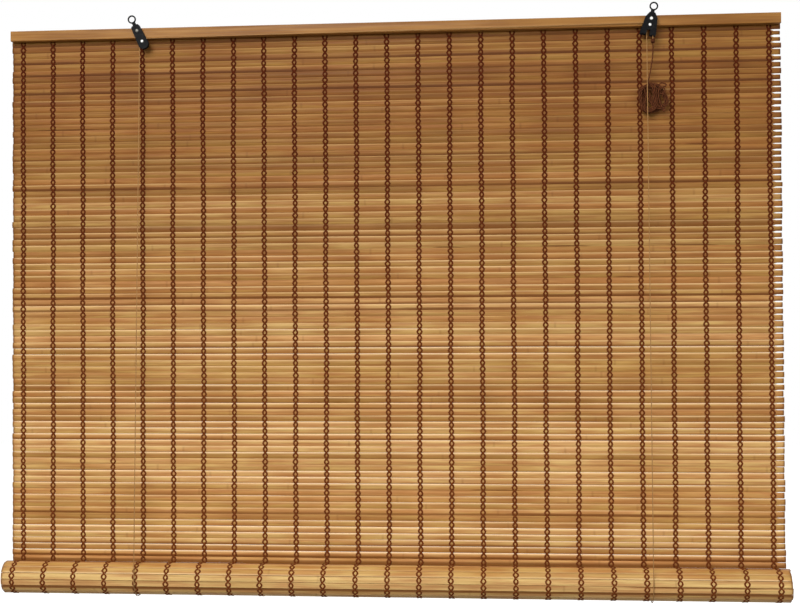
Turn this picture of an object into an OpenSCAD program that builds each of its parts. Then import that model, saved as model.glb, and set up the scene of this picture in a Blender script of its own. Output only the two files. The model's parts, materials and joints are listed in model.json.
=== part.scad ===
// Bamboo roller blind, half rolled up: a woven slat mat under a wooden headrail, the rest of
// the mat in a roll, two pulley blocks, two lift cords and a pull cord wound into a hank.
// Millimetres. X runs along the headrail, Y to the back and Z up.
// The origin is midway between the holes of the two hanging eyes.

/* [Mat] */
// Length of a slat
slat_length = 1200; // [800:10:1800]
// Height of a slat
slat_height = 8.8; // [5:0.1:10]
// Thickness of a slat
slat_thickness = 1.6; // [1:0.1:3]
// Open gap between two slats
slat_gap = 0.8; // [0.5:0.1:4]
// Bevel on a slat's long edges
slat_bevel = 0.4; // [0.2:0.1:0.45]
// Number of warp threads across the mat
warp_count = 25; // [5:1:41]
// Distance from a slat's end to the outermost warp thread
warp_margin = 18; // [10:1:60]
// Width of a warp thread on a slat
warp_width = 7.8; // [2:0.1:10]
// How far a warp thread stands off a slat
warp_thickness = 0.6; // [0.3:0.1:1.2]

/* [Roll] */
// Drop from the top of the headrail to the bottom of the roll
drop = 885; // [400:5:1400]
// Diameter of the roll over its threads
roll_diameter = 53; // [40:1:90]
// Play between two turns of the roll
turn_play = 0.3; // [0.3:0.1:1.5]
// Diameter of the bottom bar in the middle of the roll
bar_diameter = 14; // [8:1:24]
// How far the bottom bar stops short of the slat ends
bar_inset = 3; // [0:1:20]

/* [Headrail] */
// Height of the headrail
rail_height = 16; // [14:1:40]
// Depth of the headrail
rail_depth = 12; // [11:1:30]
// How far the headrail stops short of the slat ends
rail_inset = 2; // [0:1:20]
// Rounding of the headrail's and the batten's long edges
rail_round = 1.2; // [0.5:0.1:1.8]
// Depth of the batten that clamps the mat from behind
batten_depth = 5; // [4:0.5:15]
// Number of nails through the batten
nail_count = 6; // [2:1:12]
// Diameter of a nail
nail_diameter = 1.6; // [1:0.1:2.4]
// How deep a nail goes into the headrail
nail_bite = 8; // [4:0.5:9]

/* [Pulley blocks] */
// Distance between the two hanging eyes
eye_span = 809; // [500:1:1000]
// Height of the eyes' centres over the top of the headrail
eye_rise = 13; // [12:0.5:16]
// Lean of the left block, its top outwards
left_lean = 26; // [0:1:30]
// Lean of the right block, its top outwards
right_lean = 13; // [0:1:30]
// Radius of the hole in a hanging eye
eye_bore = 4.4; // [3:0.1:4.6]
// Thickness of a hanging eye's ring
eye_ring = 2.2; // [1.5:0.1:2.4]
// Thickness of a block's sheet metal
cheek_thickness = 1.2; // [0.8:0.1:2]
// Distance from the eye to the left block's axle
left_axle_drop = 38.8; // [36:0.1:44]
// Distance from the eye to the right block's axle
right_axle_drop = 30.2; // [30:0.1:34]
// Distance from the eye to the mounting screw
screw_drop = 20.2; // [19.5:0.1:21]
// Diameter of a mounting screw
screw_diameter = 3.5; // [2.5:0.1:4]
// Diameter of a sheave's axle
axle_diameter = 3; // [2:0.1:3.6]
// Diameter of a sheave
sheave_diameter = 12; // [11:0.1:12.4]
// Width of a sheave
sheave_width = 3.6; // [3.4:0.1:5]

/* [Cords] */
// Diameter of a lift cord
lift_cord = 1.5; // [1:0.1:1.8]
// Diameter of the pull cord
pull_cord_diameter = 2; // [1.5:0.1:3]
// Width of the hank at its top
hank_neck = 30; // [20:1:34]
// Width of the hank at its bottom
hank_width = 40; // [28:1:48]
// Height of the hank
hank_height = 48; // [40:1:60]
// Depth of the hank
hank_depth = 12; // [8:1:14]

/* [Hidden] */
$fn = 48;
// Radial play of a pin in its hole
pin_play = 0.05;
// Gap between a turning face and its neighbour
run_gap = 0.3;
slat_pitch = slat_height + slat_gap;
// The mat's middle stands a little to the left of the eyes' middle
mat_x = -4;
warp_pitch = (slat_length - 2 * warp_margin) / (warp_count - 1);
// Depths from front to back
cheek_inner = sheave_width / 2 + run_gap;
rail_front = cheek_inner + cheek_thickness;
rail_back = rail_front + rail_depth;
slat_front = rail_back + warp_thickness;
slat_middle = slat_front + slat_thickness / 2;
slat_back = slat_front + slat_thickness;
batten_front = slat_back + warp_thickness;
batten_back = batten_front + batten_depth;
// Heights
rail_top = -eye_rise;
rail_bottom = rail_top - rail_height;
roll_z = rail_top - drop + roll_diameter / 2;
// Spiral of the roll: the slats' middle starts where the hanging mat ends
spiral_radius = roll_diameter / 2 - warp_thickness - slat_thickness / 2;
turn_pitch = slat_thickness + 2 * warp_thickness + turn_play;
roll_y = slat_middle - spiral_radius;
core_radius = bar_diameter / 2 + slat_thickness / 2 + warp_thickness;
roll_slats = floor(PI * (pow(spiral_radius, 2) - pow(core_radius, 2)) / turn_pitch / slat_pitch);
// Half the thickness of the thread that links two slats
web_half = 0.3;
// Hanging slats, counted up from the roll
hang_slats = floor((rail_top - 1 - roll_z) / slat_pitch);
mat_bottom = roll_z + slat_gap / 2;
mat_top = mat_bottom + hang_slats * slat_pitch - slat_gap;
nail_z = mat_top - slat_height / 2;
// Hanging eye: its collar stands over the shell's bridge and its shank is riveted under it
collar_radius = 2.9;
collar_drop = 10.7;
bridge_drop = collar_drop + run_gap;
shank_radius = 1.5;
shank_drop = 14;
rivet_radius = 1.9;
left_bridge = 8.4;
right_bridge = 9;
// Sheaves and cords
groove_depth = 2.4;
groove_radius = sheave_diameter / 2 - groove_depth;
cord_radius = lift_cord / 2;
wrap_radius = groove_radius + run_gap + cord_radius;
front_sheave_y = -(sheave_width + run_gap);
right_inner = cheek_inner + sheave_width + run_gap;
left_axle_x = -eye_span / 2 + left_axle_drop * sin(left_lean);
left_axle_z = -left_axle_drop * cos(left_lean);
right_axle_x = eye_span / 2 - right_axle_drop * sin(right_lean);
right_axle_z = -right_axle_drop * cos(right_lean);
left_cord_x = left_axle_x - wrap_radius;
right_cord_x = right_axle_x - wrap_radius;
pull_x = right_axle_x + wrap_radius;
pull_y = front_sheave_y / 2;
sling_radius = roll_diameter / 2 + run_gap + cord_radius;
anchor_y = (batten_front + batten_back) / 2;
joiner_radius = 3.4;
joiner_height = 7;
joiner_top = -50;
joiner_bottom = joiner_top - joiner_height;
hank_x = pull_x - 1.4;
hank_y = pull_y + 5.4;
hank_top = joiner_bottom - 58;

// Angle along the spiral after a length of mat, and the radius at an angle
function spiral_angle(s) =
    (spiral_radius - sqrt(pow(spiral_radius, 2) - turn_pitch * s / PI)) * 360 / turn_pitch;
function spiral_r(a) = spiral_radius - turn_pitch * a / 360;
function slat_angle(k) = spiral_angle((k + 0.5) * slat_pitch);
// A point of slat k in the roll, u along the mat and w outwards
function roll_point(k, u, w) =
    let (a = slat_angle(k), r = spiral_r(a) + w)
    [r * cos(a) - u * sin(a), -r * sin(a) - u * cos(a)];
// The threads cover the turn that is in view
turn_slats = max([for (k = [0 : roll_slats - 1]) if (slat_angle(k) < 342) k]);

// Section of a slat, with bevelled edges
function slat_section() =
    let (t = slat_thickness / 2, h = slat_height / 2, c = slat_bevel)
    [
        [-t + c, -h], [t - c, -h], [t, -h + c], [t, h - c],
        [t - c, h], [-t + c, h], [-t, h - c], [-t, -h + c]
    ];

// Offset along X of warp thread i and of nail i
function warp_x(i) = mat_x - slat_length / 2 + warp_margin + i * warp_pitch;
function nail_x(i) = warp_x(floor((i + 0.5) * (warp_count - 1) / nail_count) + 0.5);

function arc(x, y, r, a0, a1, n) =
    [for (i = [0 : n]) let (a = a0 + (a1 - a0) * i / n) [x + r * cos(a), y + r * sin(a)]];

// Round tube along a route
function unit(v) = v / norm(v);
function heading(p, i) = unit(p[min(i + 1, len(p) - 1)] - p[max(i - 1, 0)]);
function ring_of(p, i, r) =
    let (t = heading(p, i), side = [0, 1, 0], n = unit(side - (side * t) * t), b = cross(t, n))
    [for (k = [0 : 7]) p[i] + r * (cos(45 * k) * n + sin(45 * k) * b)];
module cord_tube(p, r) {
    last = len(p) - 1;
    polyhedron(
        points = [for (i = [0 : last]) each ring_of(p, i, r)],
        faces = concat(
            [[for (k = [0 : 7]) k]],
            [[for (k = [7 : -1 : 0]) 8 * last + k]],
            [for (i = [0 : last - 1]) for (k = [0 : 7])
                [8 * i + k, 8 * i + 8 + k, 8 * i + 8 + (k + 1) % 8, 8 * i + (k + 1) % 8]]
        )
    );
}
// Points of a cord over a sheave, from angle a0 to a1
function wrap_route(x, y, z, a0, a1, n) =
    [for (p = arc(x, z, wrap_radius, a0, a1, n)) [p[0], y, p[1]]];

module along_x(length) {
    translate([-length / 2, 0, 0])
        rotate([90, 0, 90])
            linear_extrude(length)
                children();
}
module along_y(y0, y1) {
    translate([0, y1, 0])
        rotate([90, 0, 0])
            linear_extrude(y1 - y0)
                children();
}
// Cylinder on an axis parallel to Y
module pin_y(r, y0, y1) {
    translate([0, y1, 0])
        rotate([90, 0, 0])
            cylinder(r = r, h = y1 - y0);
}
// Low dome that faces the front
module dome(r, h, y) {
    translate([0, y, 0])
        rotate([90, 0, 0])
            rotate_extrude()
                intersection() {
                    translate([0, h - (r * r + h * h) / (2 * h)])
                        circle(r = (r * r + h * h) / (2 * h));
                    square([r, h]);
                }
}
module at_left() {
    translate([-eye_span / 2, 0, 0])
        rotate([0, -left_lean, 0])
            children();
}
module at_right() {
    translate([eye_span / 2, 0, 0])
        rotate([0, right_lean, 0])
            children();
}
module down(v) {
    translate([0, 0, -v])
        children();
}

// Long bar with rounded edges, from a front face to a depth behind it
module rail_bar(y, depth) {
    r = rail_round;
    translate([mat_x, y, rail_bottom])
        along_x(slat_length - 2 * rail_inset)
            polygon(concat(
                arc(r, r, r, 180, 270, 4),
                arc(depth - r, r, r, 270, 360, 4),
                arc(depth - r, rail_height - r, r, 0, 90, 4),
                arc(r, rail_height - r, r, 90, 180, 4)
            ));
}

// Headrail in front of the mat's top edge, drilled for the nails and the two screws
module headrail() {
    color("tan")
        difference() {
            rail_bar(rail_front, rail_depth);
            for (i = [0 : nail_count - 1])
                translate([nail_x(i), 0, nail_z])
                    pin_y(nail_diameter / 2 + pin_play, rail_back - nail_bite - 0.5, rail_back + 1);
            at_left() down(screw_drop)
                pin_y(screw_diameter / 2 + pin_play, rail_front - 1, rail_back - 2);
            at_right() down(screw_drop)
                pin_y(screw_diameter / 2 + pin_play, rail_front - 1, rail_back - 2);
        }
}

// Thin batten behind the mat's top edge, with a hole for each lift cord's end
module clamp_batten() {
    color("tan")
        difference() {
            rail_bar(batten_front, batten_depth);
            for (i = [0 : nail_count - 1])
                translate([nail_x(i), 0, nail_z])
                    pin_y(nail_diameter / 2 + pin_play, batten_front - 1, batten_back + 1);
            for (i = [0 : nail_count - 1])
                translate([nail_x(i), 0, nail_z])
                    pin_y(nail_diameter + pin_play, batten_back - 1, batten_back + 1);
            for (x = [left_cord_x, right_cord_x])
                translate([x, anchor_y, rail_bottom - 1])
                    cylinder(r = cord_radius + 0.2, h = rail_height + 2);
        }
}

// Nails from behind, their heads sunk into the batten
module batten_nails() {
    color("silver")
        for (i = [0 : nail_count - 1])
            translate([nail_x(i), 0, nail_z])
                union() {
                    pin_y(nail_diameter / 2, rail_back - nail_bite, batten_back - 0.2);
                    pin_y(nail_diameter, batten_back - 1 + pin_play, batten_back - 0.1);
                }
}

// Hanging slats, linked by a flat thread through the gaps at the two outermost columns
module slat_mat() {
    color("burlywood")
        difference() {
            union() {
                for (i = [0 : hang_slats - 1])
                    translate([mat_x, slat_middle, mat_bottom + i * slat_pitch + slat_height / 2])
                        along_x(slat_length)
                            polygon(slat_section());
                for (i = [0, warp_count - 1])
                    translate([warp_x(i), slat_middle, (mat_bottom + mat_top) / 2])
                        cube([warp_width, 2 * web_half, mat_top - mat_bottom - slat_height], center = true);
            }
            for (i = [0 : nail_count - 1])
                translate([nail_x(i), 0, nail_z])
                    pin_y(nail_diameter / 2 + pin_play, slat_front - 1, slat_back + 1);
        }
}

module warps(y) {
    for (i = [0 : warp_count - 1])
        translate([warp_x(i) - warp_width / 2, y, mat_bottom])
            cube([warp_width, warp_thickness, mat_top - mat_bottom]);
}

module warp_front() {
    color("saddlebrown")
        warps(rail_back);
}

module warp_back() {
    color("saddlebrown")
        warps(slat_back);
}

// The rolled part of the mat: a spiral of flat slats with a thin thread between them
module mat_roll() {
    h = slat_height / 2;
    t = slat_thickness / 2;
    c = slat_bevel;
    n = roll_slats - 1;
    color("burlywood")
        translate([mat_x, roll_y, roll_z])
            along_x(slat_length)
                polygon(concat(
                    [for (k = [0 : n]) each [
                        if (k > 0) roll_point(k, -h, web_half),
                        roll_point(k, -h, t - c),
                        roll_point(k, -h + c, t),
                        roll_point(k, h - c, t),
                        roll_point(k, h, t - c),
                        if (k < n) roll_point(k, h, web_half)]],
                    [for (k = [n : -1 : 0]) each [
                        if (k < n) roll_point(k, h, -web_half),
                        roll_point(k, h, c - t),
                        roll_point(k, h - c, -t),
                        roll_point(k, -h + c, -t),
                        roll_point(k, -h, c - t),
                        if (k > 0) roll_point(k, -h, -web_half)]]
                ));
}

// Threads over the outer turn of the roll
module roll_warps() {
    hl = slat_height / 2;
    ht = slat_thickness / 2;
    color("saddlebrown")
        for (i = [0 : warp_count - 1])
            translate([warp_x(i), roll_y, roll_z])
                along_x(warp_width)
                    polygon(concat(
                        [for (k = [0 : turn_slats]) each [
                            roll_point(k, -hl, ht + warp_thickness),
                            roll_point(k, hl, ht + warp_thickness)]],
                        [for (k = [turn_slats : -1 : 0]) each [
                            roll_point(k, hl, ht),
                            roll_point(k, -hl, ht)]]
                    ));
}

// Round bar that the mat's end is wound on
module bottom_bar() {
    color("tan")
        translate([mat_x - slat_length / 2 + bar_inset, roll_y, roll_z])
            rotate([0, 90, 0])
                cylinder(d = bar_diameter, h = slat_length - 2 * bar_inset);
}

// Outline of the left block's cheek: a pear with a round bottom
function pear() = concat(
    arc(0, -43.4, 8, 180, 360, 16),
    arc(3.6, -14, 3, 0, 90, 6),
    arc(-3.6, -14, 3, 90, 180, 6)
);
// Outline of the right block's cheek: a bell with sloping shoulders, two feet and a slot for the cords
function bell() = concat(
    arc(-10, -43.5, 2, 175, 270, 5),
    arc(-4, -44.1, 1.4, 270, 360, 4),
    arc(0, -39, 2.6, 180, 0, 8),
    arc(4, -44.1, 1.4, 180, 270, 4),
    arc(10, -43.5, 2, 270, 365, 5),
    arc(6.2, -20, 3, 5, 45, 3),
    arc(2.8, -13.6, 2.6, 45, 90, 3),
    arc(-2.8, -13.6, 2.6, 90, 135, 3),
    arc(-6.2, -20, 3, 135, 175, 3)
);

// Bent sheet shell: two cheeks and the bridge that the eye turns in
module shell(front, drop_v, outline, bridge) {
    difference() {
        union() {
            along_y(cheek_inner, rail_front)
                polygon(outline);
            along_y(-front - cheek_thickness, -front)
                polygon(outline);
            translate([-bridge / 2, -front - 0.1, -bridge_drop - cheek_thickness])
                cube([bridge, front + cheek_inner + 0.2, cheek_thickness]);
        }
        down(drop_v)
            pin_y(axle_diameter / 2 + pin_play, -front - 5, rail_front + 5);
        down(screw_drop)
            pin_y(screw_diameter / 2 + pin_play, -front - 5, rail_front + 5);
        down(shank_drop)
            cylinder(r = shank_radius + pin_play, h = 6);
    }
}

module sleeve(front) {
    color("dimgray")
        down(screw_drop)
            difference() {
                pin_y(screw_diameter / 2 + 0.85, -front, cheek_inner);
                pin_y(screw_diameter / 2 + pin_play, -front - 1, cheek_inner + 1);
            }
}

// Round-head screw through the block into the headrail
module mounting_screw(front) {
    color("silver")
        down(screw_drop)
            union() {
                pin_y(screw_diameter / 2, -front - cheek_thickness - 0.2, rail_back - 4);
                translate([0, rail_back - 4, 0])
                    rotate([-90, 0, 0])
                        cylinder(r1 = screw_diameter / 2, r2 = 0.4, h = 1.8);
                dome(screw_diameter / 2 + 0.9, 1.5, -front - cheek_thickness);
            }
}

// Axle riveted flush behind, with a domed head in front
module axle(front, v) {
    color("silver")
        down(v)
            union() {
                pin_y(axle_diameter / 2, -front - cheek_thickness - 0.2, rail_front - 0.1);
                dome(axle_diameter / 2 + 0.8, 1.2, -front - cheek_thickness);
            }
}

// Grooved wheel
module sheave(y) {
    w = sheave_width / 2;
    r = sheave_diameter / 2;
    translate([0, y, 0])
        rotate([90, 0, 0])
            rotate_extrude()
                polygon([
                    [axle_diameter / 2 + pin_play, -w], [r, -w], [r, -w + 0.4], [groove_radius, -0.7],
                    [groove_radius, 0.7], [r, w - 0.4], [r, w], [axle_diameter / 2 + pin_play, w]
                ]);
}

// Ring with a collar and a shank that turns in the shell's bridge
module eye() {
    r0 = eye_bore;
    r1 = eye_bore + eye_ring;
    h = eye_ring / 2;
    c = eye_ring / 4;
    color("black")
        union() {
            rotate([90, 0, 0])
                rotate_extrude()
                    polygon([
                        [r0, -h + c], [r0 + c, -h], [r1 - c, -h], [r1, -h + c],
                        [r1, h - c], [r1 - c, h], [r0 + c, h], [r0, h - c]
                    ]);
            down(collar_drop)
                cylinder(r = collar_radius, h = collar_drop - r1 + 0.5);
            down(shank_drop)
                cylinder(r = shank_radius, h = 5);
            down(shank_drop)
                cylinder(r = rivet_radius, h = shank_drop - bridge_drop - cheek_thickness - run_gap);
        }
}

module left_shell() {
    color("black")
        at_left()
            shell(cheek_inner, left_axle_drop, pear(), left_bridge);
}
module left_sleeve() {
    at_left()
        sleeve(cheek_inner);
}
module left_screw() {
    at_left()
        mounting_screw(cheek_inner);
}
module left_axle() {
    at_left()
        axle(cheek_inner, left_axle_drop);
}
module left_sheave() {
    color("gray")
        translate([left_axle_x, 0, left_axle_z])
            sheave(0);
}
module left_eye() {
    at_left()
        eye();
}

module right_shell() {
    color("black")
        at_right()
            shell(right_inner, right_axle_drop, bell(), right_bridge);
}
module right_sleeve() {
    at_right()
        sleeve(right_inner);
}
module right_screw() {
    at_right()
        mounting_screw(right_inner);
}
module right_axle() {
    at_right()
        axle(right_inner, right_axle_drop);
}
module right_front_sheave() {
    color("gray")
        translate([right_axle_x, 0, right_axle_z])
            sheave(front_sheave_y);
}
module right_rear_sheave() {
    color("gray")
        translate([right_axle_x, 0, right_axle_z])
            sheave(0);
}
module right_eye() {
    at_right()
        eye();
}

// Taut cord in front of the mat, from the roll to the side of a sheave
module front_run(x, y, z) {
    color("wheat")
        cord_tube([
            [x, roll_y - sling_radius, roll_z + run_gap],
            [x, y, z]
        ], cord_radius);
}
// Taut cord behind the mat, from the roll through the batten
module back_run(x) {
    color("wheat")
        cord_tube([
            [x, roll_y + sling_radius, roll_z + run_gap],
            [x, anchor_y, rail_bottom - 4],
            [x, anchor_y, rail_top]
        ], cord_radius);
}
// Cord under the roll
module sling(x) {
    color("wheat")
        translate([x, roll_y, roll_z])
            rotate([90, 0, 90])
                rotate_extrude(angle = -180)
                    translate([sling_radius, 0])
                        circle(r = cord_radius, $fn = 16);
}

module left_front_run() {
    front_run(left_cord_x, 0, left_axle_z);
}
module left_back_run() {
    back_run(left_cord_x);
}
module left_sling() {
    sling(left_cord_x);
}
module right_front_run() {
    front_run(right_cord_x, front_sheave_y, right_axle_z);
}
module right_back_run() {
    back_run(right_cord_x);
}
module right_sling() {
    sling(right_cord_x);
}

// The left cord over its sheave, across to the right block and down to the joiner
module cross_cord() {
    rise = atan2(right_axle_z - left_axle_z, right_axle_x - left_axle_x);
    color("wheat")
        cord_tube(concat(
            wrap_route(left_axle_x, 0, left_axle_z, 180, 90 + rise, 5),
            wrap_route(right_axle_x, 0, right_axle_z, 90 + rise, 0, 6),
            [[pull_x, 0, joiner_top]]
        ), cord_radius);
}
// The right cord over its sheave and down to the joiner
module right_over_cord() {
    color("wheat")
        cord_tube(concat(
            wrap_route(right_axle_x, front_sheave_y, right_axle_z, 180, 0, 10),
            [[pull_x, front_sheave_y, joiner_top]]
        ), cord_radius);
}

// Knots that hold the lift cords' ends on top of the batten
module anchor_knots() {
    color("wheat")
        for (x = [left_cord_x, right_cord_x])
            translate([x, anchor_y, rail_top])
                rotate_extrude()
                    polygon([[0, 0], [1.4, 0], [2.2, 0.8], [2.2, 2.6], [1.4, 3.4], [0, 3.4]]);
}

// Knot that joins both lift cords to the pull cord
module cord_joiner() {
    color("sienna")
        translate([pull_x, pull_y, joiner_bottom])
            rotate_extrude()
                polygon([
                    [0, 0], [joiner_radius - 1, 0], [joiner_radius, 1.4],
                    [joiner_radius, joiner_height - 1], [joiner_radius - 0.4, joiner_height],
                    [0, joiner_height]
                ]);
}

// Pull cord from the joiner to the hank
module pull_cord() {
    color("sienna")
        cord_tube([
            [pull_x, pull_y, joiner_bottom],
            [pull_x, pull_y, joiner_bottom - 13],
            [pull_x - 2, pull_y - 0.5, joiner_bottom - 33],
            [pull_x - 5, pull_y - 0.5, joiner_bottom - 46],
            [hank_x - 5, hank_y - hank_depth / 2 + pull_cord_diameter, hank_top]
        ], pull_cord_diameter / 2);
}

// The wound part of the pull cord: narrow at the top, where the turns hang, and wider below
module cord_hank() {
    top_r = hank_neck / 2;
    low_r = hank_width / 2;
    color("sienna")
        translate([hank_x, 0, hank_top])
            along_y(hank_y - hank_depth / 2, hank_y + hank_depth / 2)
                polygon(concat(
                    arc(0, low_r - hank_height, low_r, 180, 360, 16),
                    arc(0, -top_r, top_r, 0, 180, 12)
                ));
}

headrail();
clamp_batten();
batten_nails();
slat_mat();
warp_front();
warp_back();
mat_roll();
roll_warps();
bottom_bar();
left_shell();
left_sleeve();
left_screw();
left_axle();
left_sheave();
left_eye();
right_shell();
right_sleeve();
right_screw();
right_axle();
right_front_sheave();
right_rear_sheave();
right_eye();
left_front_run();
left_back_run();
left_sling();
right_front_run();
right_back_run();
right_sling();
cross_cord();
right_over_cord();
anchor_knots();
cord_joiner();
pull_cord();
cord_hank();
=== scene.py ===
import json
import math

import bpy
import numpy as np
from bpy.props import FloatProperty, FloatVectorProperty, IntProperty, PointerProperty
from mathutils import Matrix, Vector


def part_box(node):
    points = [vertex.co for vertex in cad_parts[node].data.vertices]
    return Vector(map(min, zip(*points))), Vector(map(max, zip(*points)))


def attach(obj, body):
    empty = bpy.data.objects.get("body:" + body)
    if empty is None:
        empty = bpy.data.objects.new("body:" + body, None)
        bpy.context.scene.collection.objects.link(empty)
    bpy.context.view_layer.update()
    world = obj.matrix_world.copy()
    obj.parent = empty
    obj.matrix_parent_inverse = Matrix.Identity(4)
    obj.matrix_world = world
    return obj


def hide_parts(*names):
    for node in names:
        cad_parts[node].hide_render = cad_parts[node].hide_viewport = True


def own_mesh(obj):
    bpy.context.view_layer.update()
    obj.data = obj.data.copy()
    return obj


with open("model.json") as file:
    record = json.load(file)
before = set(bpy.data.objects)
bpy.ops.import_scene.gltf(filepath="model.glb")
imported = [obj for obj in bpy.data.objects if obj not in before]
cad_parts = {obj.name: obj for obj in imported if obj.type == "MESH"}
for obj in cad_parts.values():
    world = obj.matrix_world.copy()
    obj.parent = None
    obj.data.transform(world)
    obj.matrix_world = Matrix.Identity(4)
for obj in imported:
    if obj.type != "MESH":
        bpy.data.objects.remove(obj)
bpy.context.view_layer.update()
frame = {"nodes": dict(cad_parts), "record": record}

bl_info = {
    "name": "Bamboo Roller Blind",
    "version": (1, 0, 0),
    "blender": (4, 5, 0),
    "location": "3D View > Sidebar > Blind",
    "description": "Dresses the packed blind with slats, twined threads, cords and finishes",
    "category": "Object",
}

MM = 0.001
PLY_LAY, PLY_DEPTH = 5 * MM, 0.3
LINE_STEP = 0.9
UP = np.array([0.0, 0.0, 1.0])
ACROSS = np.array([1.0, 0.0, 0.0])
BACK = np.array([0.0, 1.0, 0.0])


def node_box(name):
    """Lowest and highest corner of a solid, as two arrays."""
    low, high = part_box(name)
    return np.array(low), np.array(high)


MAT_LOW, MAT_HIGH = node_box("slat_mat")
RAIL_LOW = node_box("headrail")[0]


def length(name, text, size, high=2.0):
    """A size that a user may change, kept in metres and given here in millimetres."""
    look = {"unit": "LENGTH", "precision": 4}
    return FloatProperty(name=name, description=text, default=size * MM, min=0.0, max=high, **look)


def number(name, text, value):
    """A whole number that a user may change."""
    return IntProperty(name=name, description=text, default=value, min=1)


def colour(name, text, value):
    """A colour that a user may change, written as it should show."""
    linear = [c / 12.92 if c <= 0.04045 else ((c + 0.055) / 1.055) ** 2.4 for c in value]
    return FloatVectorProperty(
        name=name, description=text, default=linear, size=3, min=0.0, max=1.0, subtype="COLOR"
    )


class BlindSizes(bpy.types.PropertyGroup):
    """Sizes of the pieces that are made here."""

    slat_count: number("Hanging slats", "Slats above the roll", 89)
    slat_pitch: length("Slat pitch", "From one slat to the next", 9.6)
    gap_top: length("Gap at the top", "Mean gap between slats under the headrail", 0.015)
    gap_low: length("Gap at the bottom", "Mean gap between slats over the roll", 0.2)
    gap_roll: length("Gap in the roll", "Mean gap between slats of the roll", 0.2)
    gap_shut: length("Shut gap", "Slats that would lie nearer than this touch", 0.13)
    slat_thickness: length("Slat thickness", "Thickness of a slat", 1.6)
    slat_bow: length("Slat bow", "How far the line between two slats wanders", 0.2)
    slat_ragged: length("Ragged ends", "How much slats differ in length at each end", 1.4)
    slat_seed: number("Slat seed", "Start of the slats' differences", 7)
    warp_count: number("Thread columns", "Twined columns across the mat", 25)
    warp_pitch: length("Column pitch", "From one thread column to the next", 48.5)
    warp_margin: length("Column margin", "From a slat's end to the first column", 18)
    strand_swing: length("Strand swing", "How far a strand swings out on a slat", 3.2)
    strand_width: length("Strand width", "Width of one strand", 2.9)
    strand_depth: length("Strand depth", "How thick a strand lies on a slat", 0.85)
    roll_radius: length("Roll radius", "Middle of the outermost slat from the roll's axis", 25.1)
    roll_turn: length("Turn pitch", "From one turn of the roll to the next", 3.1)
    roll_slats: number("Rolled slats", "Slats in the roll", 59)
    lift_cord: length("Lift cord", "Diameter of a lift cord", 1.5)
    pull_cord: length("Pull cord", "Diameter of the pull cord", 2.0)
    pull_length: length("Pull cord length", "From its knot to its end", 1644.8, high=4.0)


class BlindColours(bpy.types.PropertyGroup):
    """Colours of the finishes."""

    bamboo_light: colour("Light bamboo", "Palest slats", (0.91, 0.73, 0.53))
    bamboo_mid: colour("Bamboo", "Most slats", (0.79, 0.585, 0.365))
    bamboo_dark: colour("Dark bamboo", "Darkest slats", (0.58, 0.385, 0.185))
    bamboo_olive: colour("Olive bamboo", "Tint of the greener slats", (0.96, 1.0, 0.88))
    bamboo_russet: colour("Russet bamboo", "Tint of the redder slats", (1.0, 0.94, 0.86))
    # Also the colour of painted shade on the slats' lower edges and dark lines
    bamboo_streak_and_shade: colour("Bamboo fibre", "Dark fibres along a slat", (0.47, 0.28, 0.11))
    # Pale cut edge, and painted highlight on the upper edge of each slat
    bamboo_cut_edge_and_highlight: colour("Cut edge", "Pale cut edges of a slat", (0.97, 0.83, 0.62))
    # Tint that darkens the mat towards the top
    bamboo_top_tint: colour("Top bamboo tint", "Tint of the mat under the headrail", (0.73, 0.665, 0.53))
    rail_light: colour("Rail wood", "Pale grain of the headrail", (0.625, 0.44, 0.205))
    rail_dark: colour("Rail grain", "Dark grain of the headrail", (0.49, 0.31, 0.115))
    # Thread shade and cord shade colours are painted shade between the plies
    thread: colour("Thread", "Twined thread", (0.52, 0.27, 0.11))
    thread_dark: colour("Thread shade", "Thread between its plies", (0.31, 0.14, 0.055))
    # Tint that darkens the thread towards the top
    thread_top_tint: colour("Top thread tint", "Tint of the thread under the headrail", (0.73, 0.61, 0.5))
    paint: colour("Block paint", "Paint of the pulley blocks", (0.025, 0.027, 0.034))
    paint_worn: colour("Worn paint", "Rubbed places of the paint", (0.1, 0.1, 0.1))
    steel: colour("Steel", "Screws, axles and nails", (0.9, 0.9, 0.88))
    steel_dull: colour("Dull steel", "Tarnish on the steel", (0.5, 0.49, 0.46))
    plastic: colour("Sheave", "Moulded sheaves", (0.2, 0.195, 0.19))
    lift_cord: colour("Lift cord", "Lift cords", (0.66, 0.5, 0.31))
    lift_shade: colour("Lift cord shade", "Lift cord between its plies", (0.56, 0.41, 0.25))
    pull_cord: colour("Pull cord", "Pull cord", (0.45, 0.255, 0.145))
    pull_shade: colour("Pull cord shade", "Pull cord between its plies", (0.17, 0.07, 0.03))
    floor: colour("Floor", "Floor of the stage", (0.48, 0.48, 0.475))


def settings(context):
    """Sizes and colours that the scene holds."""
    return context.scene.blind_sizes, context.scene.blind_colours


# Meshes from arrays


def ring_faces(tubes, rings, sides):
    """Quads between neighbouring rings of each tube, then one polygon over each end.

    Point (tube, ring, side) has the number (tube * rings + ring) * sides + side. The corner steps
    (ring, side) come along, so that a map can run past the seam without turning back.
    """
    t, i, j = np.meshgrid(np.arange(tubes), np.arange(rings - 1), np.arange(sides), indexing="ij")
    step = np.array([[0, 0], [0, 1], [1, 1], [1, 0]])
    ring = i.reshape(-1, 1) + step[:, 0]
    side = j.reshape(-1, 1) + step[:, 1]
    tube = t.reshape(-1, 1) + 0 * ring
    quads = (tube * rings + ring) * sides + side % sides
    first = np.arange(tubes)[:, None] * rings * sides + np.arange(sides)[None, ::-1]
    last = (np.arange(tubes)[:, None] * rings + rings - 1) * sides + np.arange(sides)[None, :]
    caps = np.concatenate([first, last])
    return quads, caps, tube, ring, side


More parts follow.
